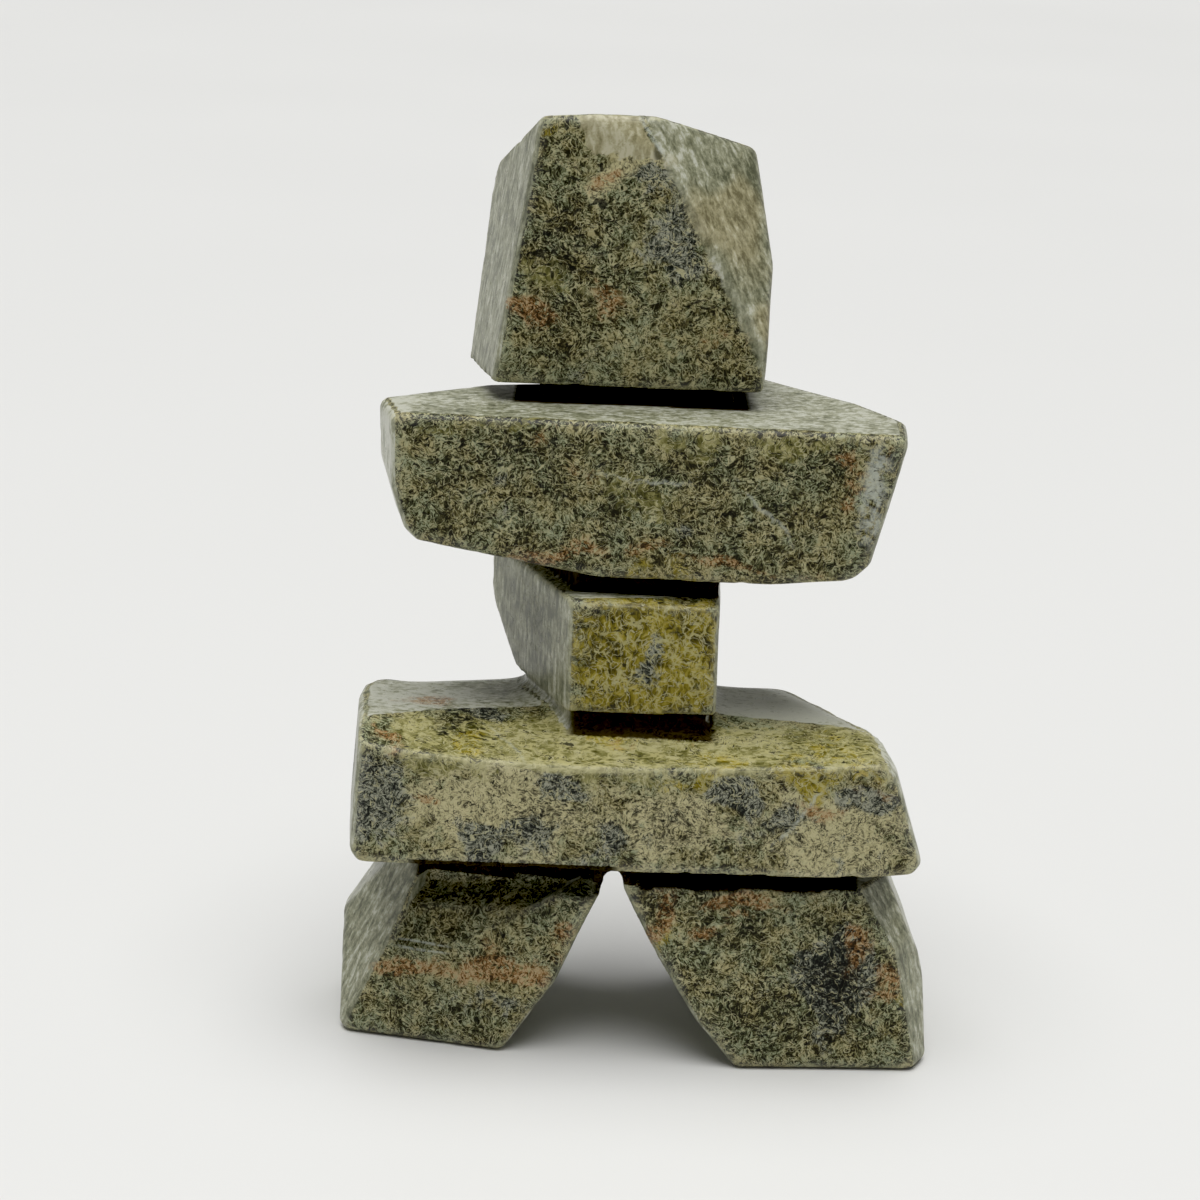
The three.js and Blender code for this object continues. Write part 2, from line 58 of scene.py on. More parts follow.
# The stone: its shape, then its rock. Places, reaches and heights are in millimetres, x to the right,
# y to the back and z up. Colours are red, green and blue up to 255.
stone = {
    "name": "carvedStone",
    "voxel": 0.72,                  # size of the fine mesh's faces
    "easing": 2,                    # times the mesh is laid on the solid and eased
    "wave": 0.16,                   # how far the hand-ground faces wander from flat
    "waveLength": 17.0,
    "ripple": 0.03,                 # and in shorter waves on top of that
    "rippleLength": 4.2,
    "nick": 0.5,                    # deepest nick in an edge
    "nickSpacing": 3.4,
    "nickNoise": (0.22, 0.6),       # where the noise starts a nick and where it is full
    "edgeBend": (0.03, 0.12),       # how sharp a crease has to be to count as an edge
    "edgeSpread": 2,
    "edgeWear": 1.5,
    "sole": (0.3, 1.5),             # the feet stay flat up to the first height, free from the second
    "nickSeed": 11.0,
    "waveSeed": 14.0,
    "rippleSeed": 16.0,

    # creases on the body slab's top that were polished away
    "soften": {
        "from": (-40, -24, 49),
        "to": (46, 26, 57),
        "facingUp": 0.9,
        "bend": (0.004, 0.015),
        "spread": 7,
        "feather": 3,
        "turns": 60,
        "pull": 0.9,
    },

    # The saw cuts, from the legs up to the head, darkened with painted shade: the heights that the saw went
    # in between, how far the painted shade runs from left to right, how far it comes forward, whether it
    # keeps to faces that look to the front, and how far it lies on the sawn face below.
    "cuts": [
        {"heights": (31.0, 34.1), "across": (-60, 60), "front": -60, "facing": False, "floor": (1, 36)},
        {"heights": (27.5, 35.0), "across": (-37, -18), "front": -60, "facing": False, "floor": (-37, -18)},
        {"heights": (28.5, 35.0), "across": (-24, -2), "front": -60, "facing": False, "floor": (-20, -3)},
        {"heights": (53.6, 57.7), "across": (-12.5, 13), "front": -19, "facing": True, "floor": (-11, 12)},
        {"heights": (76.3, 79.5), "across": (-60, 60), "front": -60, "facing": True, "floor": None},
        {"heights": (104.5, 107.7), "across": (-60, 60), "front": -60, "facing": False, "floor": (-22, 16)},
    ],
    # Painted shade in the saw cuts and on the sawn faces under their overhangs
    "cutShade": {
        "left": (0.10, 0.08, 0.06),     # share of red, green and blue that it leaves of the rock
        "overhang": 4.2,                # a sawn face with rock closer above it than this is black
        "below": 6,                     # the sawn face is looked for from here below the cut
        "above": 2.4,                   # to here above the cut's foot
        "facingUp": 0.35,
        "behind": 12,                   # and no further back than this
        "lift": 0.3,
        "upward": (0, -0.08, 1),
        "spread": 2,
        "edge": (0.3, 0.7),
        "ragged": 0.5,
        "fade": 2,                      # how softly the black ends at its left and right
        "frontFade": 0.5,               # and at its front
        "footFade": (-0.1, 0.15),       # where it sets in and is full, from the cut's foot
        "roofFade": (0.1, -0.1),        # and from its roof
    },

    # How far up, left and right a face has to look to be rubbed smoother than the fronts, with a painted
    # reflection
    "rubbedSheenUp": (0.985, 0.998),
    "rubbedSheenLeft": (0.35, 0.6),
    "rubbedSheenRight": (0.5, 0.75),

    # Colour zones in the rock. Each spot is place, reach, strength.
    "bend": 5.0,                    # how far slow noise bends the spots out of round
    "bendLength": 9.0,
    "bendSeed": 31.0,
    "falloff": 0.9,                 # how fast a spot weakens away from its place
    "zones": {
        "rust": [
            ((-7, -2, 141), (3, 4, 1.5), 0.9),          # head, below the tan chip
            ((-21, -2, 119), (4, 4, 1.6), 0.8),         # head, left edge
            ((-8, -2, 120), (3, 4, 3.6), 0.7),          # head, middle
            ((10, -3, 114), (4, 5, 4), 0.4),            # head, low right
            ((-10, -15, 83), (16, 5, 2), 0.8),          # arms, lower edge
            ((14, -16, 81), (12, 5, 1.4), 0.85),
            ((31, -17, 98), (2, 5, 3), 0.65),           # arms, beside the pale band
            ((30, -17, 95), (2, 5, 2), 0.6),
            ((37, -17, 101), (1.5, 5, 1.5), 0.6),
            ((-17, -15, 100), (3, 5, 2), 0.45),
            ((-10, -15, 95), (3, 5, 2), 0.4),
            ((-18, -15, 85), (4, 5, 2), 0.55),
            ((-34, -9, 55), (6, 4, 3), 0.95),           # body, brown patch on its top
            ((-42, -23, 55), (2.5, 4, 1.2), 0.95),
            ((-34, -27, 46), (2, 4, 1), 0.9),
            ((29, -27, 45), (5, 4, 1.4), 1.0),
            ((-2, -19, 53), (13, 2, 2), 0.35),          # body, streaks below the neck stone
            ((36, -27, 50), (3, 4, 3), 0.35),
            ((-34, -19, 14), (5, 5, 1.8), 1.45),        # left leg, band across the front
            ((-21, -22, 15), (7, 5, 3.2), 1.5),
            ((-13, -22, 22), (3, 5, 3.4), 1.2),
            ((18, -24, 28), (6, 5, 2), 1.1),            # right leg
            ((19, -24, 24), (2, 4, 1.6), 0.8),
            ((13, -25, 21), (4, 5, 1.4), 0.8),
            ((36, -24, 21), (2.4, 5, 3), 0.95),
            ((41, -24, 14), (2.6, 5, 3.4), 0.8),
            ((3, -25, 24), (2.6, 5, 5), 0.9),
        ],
        "ochre": [
            ((0, -17, 67), (13, 6, 12), 1.0),           # neck stone, front
            ((-27, -21, 54), (6, 6, 3), 0.5),           # body, band below the neck stone
            ((-4, -18, 55), (8, 4, 3), 0.6),
            ((14, -24, 53), (6, 4, 3), 0.6),
            ((33, -22, 53), (7, 6, 3), 0.55),
            ((27, -27, 50), (7, 5, 3.5), 0.8),
            ((9, -27, 50), (7, 4, 2.5), 0.6),
            ((-19, -1, 149), (4, 5, 1.5), 0.9),         # head, strip on the top edge
            ((45, -21, 18), (4, 6, 10), 0.6),           # right leg, outer edge
            ((5, -25, 18), (2, 5, 5), 0.5),
            ((-27, -19, 26), (9, 5, 4), 0.35),          # left leg
        ],
        "olive": [
            ((-16, -20, 54), (19, 8, 4.6), 1.3),        # body, band below the neck stone
            ((-32, -21, 54), (10, 7, 4), 0.9),
            ((12, -21, 54), (19, 8, 4.6), 1.2),
            ((33, -20, 54), (10, 7, 4), 0.8),
            ((-17, -2, 125), (4, 4, 4), 0.6),           # head
            ((-2, -16, 93), (7, 5, 6), 0.5),            # arms
            ((8, -16, 101), (9, 5, 3), 0.5),
            ((24, -17, 103), (12, 6, 2), 0.6),
            ((-14, -15, 104), (28, 4, 1.2), 0.6),       # arms, rim under the top edge
        ],
        "cream": [
            ((-3, -1, 141.5), (10, 3, 4.5), 0.85),      # head, below the chip
            ((13, 1, 134), (8, 8, 12), 0.9),            # head, right facet
            ((18, 1, 118), (6, 8, 8), 0.8),
            ((-24, -27, 44), (17, 6, 8), 0.95),         # body, front
            ((2, -27, 43), (17, 6, 8), 0.75),
            ((30, -27, 42), (15, 6, 8), 0.9),
            ((-31, -26, 52), (5, 5, 2.2), 0.8),
            ((0, -18, 72), (9, 4, 3), 0.35),            # neck stone
            ((-4, -17, 61), (9, 4, 2), 0.35),
            ((28, -3, 105), (12, 10, 2), 0.35),         # arms, top right
        ],
        "slate": [
            ((3, -2, 132), (5.5, 4, 8), 0.8),           # head
            ((-1, -2, 139), (5, 4, 2.4), 1.0),
            ((-15, -2, 110), (5, 4, 4), 0.35),
            ((4, -16, 87), (2.6, 4, 3), 0.9),           # arms
            ((-23, -14, 93), (6, 4, 5), 0.35),
            ((-43, -27, 46), (7, 6, 8), 0.78),          # body, front
            ((-24, -27, 39), (5, 5, 2.6), 1.1),
            ((-17, -27, 41), (3, 5, 3), 0.8),
            ((-12, -27, 47), (5, 5, 2.6), 1.15),
            ((-5, -27, 39), (3.4, 5, 3.4), 1.05),
            ((5, -27, 42), (4, 5, 4), 0.45),
            ((14, -27, 48), (4, 5, 2.8), 1.15),
            ((22, -27, 42), (6, 5, 4), 0.8),
            ((36, -27, 48), (2.8, 5, 2.6), 1.1),
            ((36, -27, 40), (5, 5, 3), 0.45),
            ((-24, -11, 55), (3, 3, 3), 0.9),           # body, spot on its top
            ((2, -17, 66), (2.2, 4, 3.6), 0.7),         # neck stone
            ((33, -24, 15.7), (4.6, 5, 7), 1.8),        # right leg
            ((25, -25, 12), (5, 5, 5), 0.4),
            ((-22, -21, 6), (7, 5, 3), 0.6),            # left leg
            ((-38, -17, 21), (3, 5, 4), 0.3),
        ],
        "pale": [
            ((-3, -2, 142), (12, 4, 5), 1.0),           # head, upper front
            ((0, -2, 122), (20, 5, 14), 0.35),          # head, lower front
            # painted light on the arms' left facet, which looks left and up
            ((-42, -8, 98), (2.4, 12, 12), 1.6),        # arms, left facet
            ((0, -17, 66), (14, 4, 12), 0.25),          # neck stone
            # painted light on the body's top, in the shade under the arms and neck stone
            ((28, -8, 55), (22, 14, 3), 1.5),           # body, top
            ((-30, -8, 55), (16, 12, 3), 1.0),
            ((0, -20, 54), (40, 8, 4), 0.95),           # body, front
            ((-20, -27, 50), (16, 6, 3.4), 0.8),
            ((0, -27, 44), (50, 6, 12), 0.4),
            ((-32, -27, 44), (12, 6, 9), 1.1),
            ((30, -27, 44), (13, 6, 9), 1.0),
            # painted reflection of the bright room on the body's right side
            ((48, -12, 45), (3, 20, 9), 0.9),           # body, right side
            ((-27, -20, 17), (14, 5, 6), 0.5),          # left leg, middle
        ],
        "dark": [
            ((-15, -2, 132), (8, 4, 12), 1.0),          # head, black specks
            ((-9, -2, 126), (9, 4, 7), 0.7),
            ((-17, -2, 144), (3, 4, 4), 0.8),
            ((10, -2, 110), (9, 4, 3), 0.6),
            ((14, 2, 128), (9, 9, 18), 0.6),            # head, right facet
            ((16, -3, 138), (0.8, 3, 1.4), 1.0),
            ((-24, -14, 98), (13, 5, 6), 0.6),          # arms
            ((12, -16, 90), (16, 5, 6), 0.5),
            ((-2, -16, 93), (36, 6, 12), 0.3),
            ((-25, -6, 105), (13, 14, 2), 0.7),
            ((-25, -10, 66), (9, 16, 12), 1.7),         # neck stone, left side
            ((-10, -27, 43), (26, 4, 5), 0.45),         # body, front
            ((-50, -12, 42), (3, 24, 10), 1.6),         # body, left side
            # painted shade on the legs' fronts under the slab
            ((0, -24, 27), (10, 8, 4), 0.5),            # legs, under the slab
            ((-27, -19, 26), (12, 6, 4), 0.8),
            ((22, -25, 12), (14, 5, 9), 0.45),          # right leg
            ((33, -24, 15), (3.8, 5, 6), 1.9),
            # painted shadow of the slab on the right leg's top
            ((41, -18, 31), (5, 8, 3), 1.5),
        ],
    },

    # Thin sheets of pale mineral that cross the rock and show as lines. Each has a point, a direction
    # square to the sheet, half its thickness, a place and reach that it stays within, and its strength.
    "veins": [
        {"point": (35, -17, 95), "square": (0.97, 0.1, -0.12), "half": 1.5,
         "place": (35, -17, 95), "reach": (5, 12, 9), "strength": 0.8},
        {"point": (18, -17, 91), "square": (0.72, 0.2, 0.66), "half": 0.22,
         "place": (18, -17, 91), "reach": (7, 8, 8), "strength": 0.45},
        {"point": (-2, -16, 96.3), "square": (0.03, 0.1, 1), "half": 0.22,
         "place": (-1, -16, 96), "reach": (8, 5, 3), "strength": 0.45},
        {"point": (-19, -24, 52), "square": (0.8, 0.5, 0.3), "half": 0.2,
         "place": (-17, -18, 54), "reach": (9, 10, 6), "strength": 0.3},
        {"point": (27, -27, 46), "square": (0.75, 0, -0.62), "half": 0.25,
         "place": (27, -27, 44), "reach": (8, 5, 7), "strength": 0.6},
        {"point": (6, 0, 137), "square": (0.86, 0.35, 0.33), "half": 0.3,
         "place": (7, 0, 135), "reach": (6, 4, 12), "strength": 0.4},
    ],
    "veinEdge": (2.2, 0.3),         # a sheet fades between these shares of its half thickness
    "veinWander": 5.0,

    # The head's right facet, as smooth as the sides: a point on its front border, the way in from it,
    # and the heights that it sets in between.
    "headFacet": {
        "point": (6.6, -2.2, 131.8),
        "square": (0.89, 0, 0.46),
        "ragged": 2.4,
        "heights": (108.0, 112.0),
    },

    # The tan chip on the head: a point on each edge and the way in from it, the right edge last. That edge
    # has a pale rim of painted highlight, and a dark wedge lies in the corner below it. Both are place and
    # reach.
    "headChip": {
        "edges": [
            ((-12.2, 0, 147.5), (0.92, 0, 0.39)),
            ((-4, 0, 143.9), (0.08, 0, 1)),
            ((-1.3, 0, 146.8), (-0.83, 0, -0.56)),
        ],
        "ragged": 3.0,
        "rimOffset": 0.1,
        "rim": ((-1.6, 0, 147.2), (3.4, 6, 4.6)),
        "wedge": ((-0.2, -1.5, 145.2), (1.2, 6, 1.9)),
    },

    # Two saw scratches on the left leg
    "scratches": {
        "place": (-34.5, -18.5, 16.3),
        "reach": (5.5, 4, 1.6),
        "spacing": 1.15,
        "half": 0.16,                   # half a scratch's width
        "edge": (1.6, 0.6),             # it fades between these shares of that
    },

    # Each kind of rock, from its dark grains to its pale ones, and where those tones lie
    "rocks": {
        "green": [(24, 22, 8), (53, 50, 30), (88, 86, 61), (122, 120, 96), (158, 155, 134)],
        "cream": [(66, 62, 44), (108, 103, 78), (144, 138, 104), (167, 161, 121), (184, 177, 138)],
        "ochre": [(40, 36, 0), (78, 69, 4), (116, 104, 20), (142, 130, 44), (166, 153, 82)],
        "olive": [(48, 47, 14), (80, 78, 34), (108, 105, 58), (136, 132, 84), (166, 161, 118)],
        "slate": [(14, 16, 12), (39, 42, 35), (72, 75, 64), (108, 110, 95), (148, 149, 131)],
        "rust": [(42, 29, 6), (80, 54, 20), (117, 82, 41), (143, 110, 69), (170, 148, 111)],
        # the smooth faces' tones, pale as a painted reflection of the bright room
        "smoothSheen": [(80, 82, 61), (108, 110, 87), (132, 133, 109), (155, 156, 134), (184, 185, 171)],
        "chip": [(101, 95, 66), (127, 122, 91), (146, 140, 109), (161, 156, 126), (180, 176, 150)],
    },
    "tonePlaces": (0.15, 0.33, 0.5, 0.67, 0.85),
    "brightness": 1.08,             # how much more light the stone sends back than its tones say

    "paint": {
        "black": (9, 9, 7),
        "thread": (176, 172, 134),
        "net": (172, 166, 116),
        "vein": (178, 183, 172),
        "wedge": (52, 50, 22),
        "warmRock": (255, 247, 210),
        "coolRock": (236, 248, 232),
        "wornRock": (255, 255, 250),
    },

    # Patterns: how many to a millimetre, detail, roughness, distortion
    "patterns": {
        "fine": (1.9, 3.0, 0.62, 0.7),          # the smallest grains
        "middle": (0.62, 3.0, 0.6, 0.4),        # grains of about 1.6 mm
        "patch": (0.3, 3.0, 0.6, 0.0),          # patches of about 3 mm
        "mottle": (0.14, 3.0, 0.6, 0.0),        # and of about 7 mm
        "curl": (0.85, 2.0, 0.55, 0.9),         # short curled strokes, pale and dark
        "yellow": (0.75, 4.0, 0.6, 0.8),        # grain of the ochre and olive rock
        "hue": (0.21, 4.0, 0.65, 0.0),          # drift between yellow-green and grey-green
        "border": (0.3, 6.0, 0.72, 0.0),        # ragged borders of the zones
        "thread": (0.4, 1.5, 0.5, 1.6),         # long pale threads
        "crack": (0.5, 3.0, 0.6, 1.2),          # black cracks
        "netWidth": (0.45, 2.0, 0.5, 0.0),
        "veinWander": (0.16, 4.0, 0.65, 0.0),
        "veinGaps": (0.5, 4.0, 0.7, 0.0),
        "fleck": (0.9, 3.0, 0.6, 0.6),          # black flecks, slightly pitted
        "streak": (1.5, 4.0, 0.6, 0.3),         # drawn-out grain of the smooth faces
        "speckle": (1.3, 3.0, 0.6, 0.5),        # breaks up the rust
        "polish": (0.5, 3.0, 0.5, 0.0),
        "drift": (0.25, 3.0, 0.5, 0.0),         # drags the other patterns about
        "fray": (0.9, 2.0, 0.5, 0.0),           # frays the net of cream veins
    },
    "pull": 3.0,                    # how far the drift drags the other patterns
    "net": 0.60,                    # cells of the net of cream veins to a millimetre
    "netFray": 1.3,
    "curlStarts": (7.0, 31.0),      # so that the pale and the dark curls don't coincide
    "upright": (1.15, 1, 0.8),      # how the yellow rock is drawn out on the fronts
    "sideways": (0.5, 1.3, 1.3),    # and where the stone leans back
    "rubbedWay": (0.5, 0.8, 0.2),   # how the grain of the smooth faces is drawn out
    "fleckTurn": 0.7,
    "fleckScale": (0.55, 1, 1.3),
    "fleckStart": 0.65,             # flecks start here, and sooner where the rock is dark
    "fleckInDark": -0.125,
    "cracksInSlate": 0.12,

    # How much each thing lightens the grain of the rough rock
    "lift": {
        "dark": -0.20,
        "pale": 0.20,
        "middle": 0.8,
        "patch": 0.8,
        "mottle": 0.7,
        "fine": 1.3,
        "curls": (0.44, -0.32),
        # painted light: the yellow rock is a little paler where the face leans back
        "leaning": 0.06,
        "yellow": 1.7,
    },

    # and the grain of the smooth faces, with their painted reflection of the bright room
    "sheen": {
        "streak": 1.9,
        "fine": 0.6,
        "pale": 0.30,
        "dark": -0.25,
        "patch": 0.6,
        "middle": 0.4,
        "mottle": 0.5,
    },

    # How far noise moves the borders of the rocks, the rust, the smooth faces with their painted reflection
    # and the worn edges
    "raggedRock": 1.7,
    "raggedRust": 1.8,
    "raggedSmoothSheen": 0.2,
    "raggedWear": 1.2,

    # Where each thing sets in, where it is full, and how strong it gets
    "fades": {
        "leaning": (0.3, 0.6),
        "onFront": (-0.15, -0.35),
        "cutWall": (0.8, 0.6),
        "cutFront": (-0.1, -0.3),
        "hue": (0.38, 0.62),
        "rock": (0.30, 0.54),
        "threadLine": (0.024, 0.006),
        "threadPlace": (0.33, 0.52, 0.85),
        "crackLine": (0.03, 0.006),
        "crackPlace": (0.50, 0.60, 0.85),
        "netWidth": (0.35, 0.65, 0.09),
        "netLine": (0.03, -0.05),
        "netPlace": (0.3, 0.7, 0.75),
        "veinGaps": (0.36, 0.56),
        "fleck": (0.0, 0.035),
        "smoothSheen": (0.35, 0.75),
        "headFacet": (-0.4, 0.6),
        # painted light: faces that look up are made paler
        "sheenUp": (0.6, 0.95, 0.18),
        "tan": (0.4, 0.7),
        "chip": (-0.1, 0.3),
        "chipRim": (0.5, 0.1, 0.7),
        "rust": (0.25, 0.70),
        "speckle": (0.36, 0.50, 0.92),
        "wear": (0.86, 1.12, 0.38),
        "scratch": (0.35, 0.55),
        "within": (1.15, 0.55),
    },
    "curlLine": (0.075, 0.01),
    "strengths": {"fleck": 0.85, "rubbedSheen": 0.92, "wedge": 0.85, "wear": 0.05, "scratch": 0.75},

    # The polish
    "surface": {
        "rough": 0.22,
        "roughPolish": 0.16,
        "roughFleck": 0.12,
        "roughWorn": 0.18,
        "roughCutShade": 0.4,
        "bumpFine": 0.5,
        "bumpFleck": -0.6,
        "bumpScratch": -1.0,
        "bump": 0.35,
        "bumpDepth": 0.12,
        "gloss": 0.20,
        "glossSmooth": 0.12,
        "glossCutShade": -0.95,
        "refraction": 1.5,
    },
}


def linear(colour):
    shares = [value / 255 for value in colour]
    return [s / 12.92 if s <= 0.04045 else ((s + 0.055) / 1.055) ** 2.4 for s in shares]


def smoothStep(value, low, high):
    share = np.clip((value - low) / (high - low), 0, 1)
    return share * share * (3 - 2 * share)


# The fine mesh

def fineMesh(source):
    draft = bpy.data.objects.new("draft", source.data.copy())
    bpy.context.scene.collection.objects.link(draft)
    draft.matrix_world = source.matrix_world
    remesh = draft.modifiers.new("grain", "REMESH")
    remesh.mode = "VOXEL"
    remesh.voxel_size = stone["voxel"] * mm
    held = draft.evaluated_get(bpy.context.evaluated_depsgraph_get())
    mesh = bpy.data.meshes.new_from_object(held)
    mesh.transform(draft.matrix_world)
    bpy.data.objects.remove(draft)
    return mesh


def readPoints(mesh):
    points = np.empty(len(mesh.vertices) * 3)
    mesh.vertices.foreach_get("co", points)
    return points.reshape(-1, 3)


def writePoints(mesh, points):
    mesh.vertices.foreach_set("co", points.ravel())
    mesh.update()


def readNormals(mesh):
    normals = np.empty(len(mesh.vertices) * 3)
    mesh.vertex_normals.foreach_get("vector", normals)
    return normals.reshape(-1, 3)


def readPairs(mesh):
    pairs = np.empty(len(mesh.edges) * 2, dtype=np.int64)
    mesh.edges.foreach_get("vertices", pairs)
    pairs = pairs.reshape(-1, 2)
    return np.concatenate((pairs, pairs[:, ::-1]))


# Mean of each vertex's neighbours, for one value to a vertex or several
def neighbourMean(pairs, values):
    near, far = pairs[:, 0], pairs[:, 1]
    columns = values.reshape(len(values), -1).T
    count = np.bincount(near, minlength=len(values))
    means = [np.bincount(near, column[far], len(values)) / count for column in columns]
    return np.array(means).T.reshape(values.shape)


def ease(pairs, values, turns):
    for turn in range(turns):
        values = 0.5 * values + 0.5 * neighbourMean(pairs, values)
    return values


def noiseAt(points, length, seed):
    offset = Vector((seed, seed * 1.7, seed * 0.6))
    return np.array([noise.noise(Vector(point) / (length * mm) + offset) for point in points])


# Lays the mesh on the solid and eases it, so that its flats are true and its creases clean
def layOn(tree, points, pairs):
    for turn in range(stone["easing"]):
        points = np.array([tree.find_nearest(Vector(point))[0] for point in points])
        points = ease(pairs, points, 1)
    return points


# Smooths the creases inside the box, and lets the rest be
def soften(points, normals, bend, pairs):
    box = stone["soften"]
    low, high = (np.array(box[name]) * mm for name in ("from", "to"))
    inside = ((points > low) & (points < high)).all(1) & (normals[:, 2] > box["facingUp"])
    share = inside * smoothStep(np.abs(bend), *box["bend"])
    for turn in range(box["spread"]):
        share = np.maximum(share, neighbourMean(pairs, share)) * inside
    for turn in range(box["feather"]):
        share = neighbourMean(pairs, share)
    for turn in range(box["turns"]):
        points = points + (share * box["pull"])[:, None] * (neighbourMean(pairs, points) - points)
    return points


def carve(source):
    mesh = fineMesh(source)
    world = source.matrix_world
    corners = [world @ vertex.co for vertex in source.data.vertices]
    tree = BVHTree.FromPolygons(corners, [list(face.vertices) for face in source.data.polygons])
    pairs = readPairs(mesh)
    points = layOn(tree, readPoints(mesh), pairs)
    writePoints(mesh, points)
    normals = readNormals(mesh)
    bend = ((points - neighbourMean(pairs, points)) * normals).sum(1) / (stone["voxel"] * mm)
    points = soften(points, normals, bend, pairs)
    edge = ease(pairs, smoothStep(bend, *stone["edgeBend"]), stone["edgeSpread"])
    nick = noiseAt(points, stone["nickSpacing"], stone["nickSeed"])
    nick = smoothStep(nick, *stone["nickNoise"])
    wave = noiseAt(points, stone["waveLength"], stone["waveSeed"])
    ripple = noiseAt(points, stone["rippleLength"], stone["rippleSeed"])
    push = stone["wave"] * wave + stone["ripple"] * ripple - stone["nick"] * nick * edge
    flat, free = stone["sole"]
    sole = smoothStep(points[:, 2], flat * mm, free * mm)
    points = points + normals * (push * sole * mm)[:, None]
    low, high = (np.array(corner) for corner in cadBox)
    points = np.clip(points, low, high)
    writePoints(mesh, points)
    mesh.shade_smooth()
    finish = {
        "worn": np.clip(edge * stone["edgeWear"], 0, 1),
        # painted shade on the sawn faces under the cuts
        "cut": shadedFloors(tree, points, normals, pairs),
        "smoothSheen": rubbedSheenFaces(normals),
    }
    return mesh, points, finish


# Faces that look left, right or up: rubbed smooth and given a painted reflection of the bright room
def rubbedSheenFaces(normals):
    right, up = normals[:, 0], normals[:, 2]
    left = smoothStep(-right, *stone["rubbedSheenLeft"])
    sides = np.maximum(left, smoothStep(right, *stone["rubbedSheenRight"]))
    return np.maximum(sides, smoothStep(up, *stone["rubbedSheenUp"]))


# How far painted shade covers the sawn faces below the cuts, where the rock above is close
def shadedFloors(tree, points, normals, pairs):
    cutShade = stone["cutShade"]
    right, back, height = points.T / mm
    facingUp = normals[:, 2] > cutShade["facingUp"]
    black = np.zeros(len(points))
    for cut in stone["cuts"]:
        if cut["floor"]:
            start, end = cut["floor"]
            low = cut["heights"][0]
            under = (height > low - cutShade["below"]) & (height < low + cutShade["above"])
            under = under & (right > start) & (right < end) & facingUp & (back < cutShade["behind"])
            for at in np.flatnonzero(under):
                place = Vector(points[at] + normals[at] * cutShade["lift"] * mm)
                hit = tree.ray_cast(place, Vector(cutShade["upward"]), cutShade["overhang"] * mm)[0]
                if hit is not None:
                    black[at] = 1
    return smoothStep(ease(pairs, black, cutShade["spread"]), *cutShade["edge"])


# Slow noise bends the spots out of round
def bentPlaces(points):
    length, seed = stone["bendLength"], stone["bendSeed"]
    bends = [noiseAt(points, length, seed + axis) for axis in range(3)]
    return points / mm + stone["bend"] * np.array(bends).T


def zoneStrength(places, spots):
    best = np.zeros(len(places))
    for place, reach, strength in spots:
        away = (places - np.array(place)) / np.array(reach)
        best = np.maximum(best, strength * np.exp(-stone["falloff"] * (away ** 2).sum(1)))
    return best


stoneMesh, stonePoints, stoneFinish = carve(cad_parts["inukshuk"])
stonePlaces = bentPlaces(stonePoints)
layers = {name: zoneStrength(stonePlaces, spots) for name, spots in stone["zones"].items()}
for name, values in {**layers, **stoneFinish}.items():
    layer = stoneMesh.attributes.new(name, "FLOAT", "POINT")
    layer.data.foreach_set("value", values)
carvedStone = bpy.data.objects.new(stone["name"], stoneMesh)
bpy.context.scene.collection.objects.link(carvedStone)
print("stone carved:", len(stoneMesh.polygons), "faces")


# Nodes

def put(tree, kind, sockets=None, **settings):
    node = tree.nodes.new("ShaderNode" + kind)
    for name, value in settings.items():
        setattr(node, name, value)
    for name, value in (sockets or {}).items():
        if isinstance(value, bpy.types.NodeSocket):
            tree.links.new(value, node.inputs[name])
        else:
            node.inputs[name].default_value = value
    return node


def sums(tree, operation, first, second=0.0, third=0.0):
    return put(tree, "Math", {0: first, 1: second, 2: third}, operation=operation).outputs[0]


def times(tree, first, *others):
    for other in others:
        first = sums(tree, "MULTIPLY", first, other)
    return first


# Adds a share of the value to the base
def add(tree, value, share, base):
    return sums(tree, "MULTIPLY_ADD", value, share, base)


# Adds a share of the noise to the base, up and down alike
def sway(tree, value, share, base):
    return add(tree, sums(tree, "SUBTRACT", value, 0.5), share, base)


def vectors(tree, operation, first, second=(0, 0, 0)):
    node = put(tree, "VectorMath", {0: first, 1: second}, operation=operation)
    return node.outputs["Value"] if operation in ("LENGTH", "DOT_PRODUCT") else node.outputs[0]


# How far beyond a point, along a direction
def beyond(tree, where, point, direction):
    return vectors(tree, "DOT_PRODUCT", vectors(tree, "SUBTRACT", where, point), direction)


def step(tree, value, low, high, top=1.0):
    sockets = {"Value": value, "From Min": low, "From Max": high, "To Min": 0.0, "To Max": top}
    return put(tree, "MapRange", sockets, interpolation_type="SMOOTHSTEP").outputs[0]


def fade(tree, value, name):
    return step(tree, value, *stone["fades"][name])


# Distance from the noise's middle, which draws lines
def fromMiddle(tree, value):
    return sums(tree, "ABSOLUTE", sums(tree, "SUBTRACT", value, 0.5))


def pattern(tree, where, name):
    perMm, detail, roughness, distortion = stone["patterns"][name]
    sockets = {"Vector": where, "Scale": perMm, "Detail": detail}
    sockets.update({"Roughness": roughness, "Distortion": distortion})
    return put(tree, "TexNoise", sockets)


def grain(tree, where, name):
    return pattern(tree, where, name).outputs[0]


def blend(tree, share, under, over):
    return put(tree, "Mix", {0: share, 6: under, 7: over}, data_type="RGBA").outputs[2]


def multiply(tree, colour, factor):
    sockets = {0: 1.0, 6: colour, 7: factor}
    return put(tree, "Mix", sockets, data_type="RGBA", blend_type="MULTIPLY").outputs[2]


def tint(name):
    return (*linear(stone["paint"][name]), 1.0)


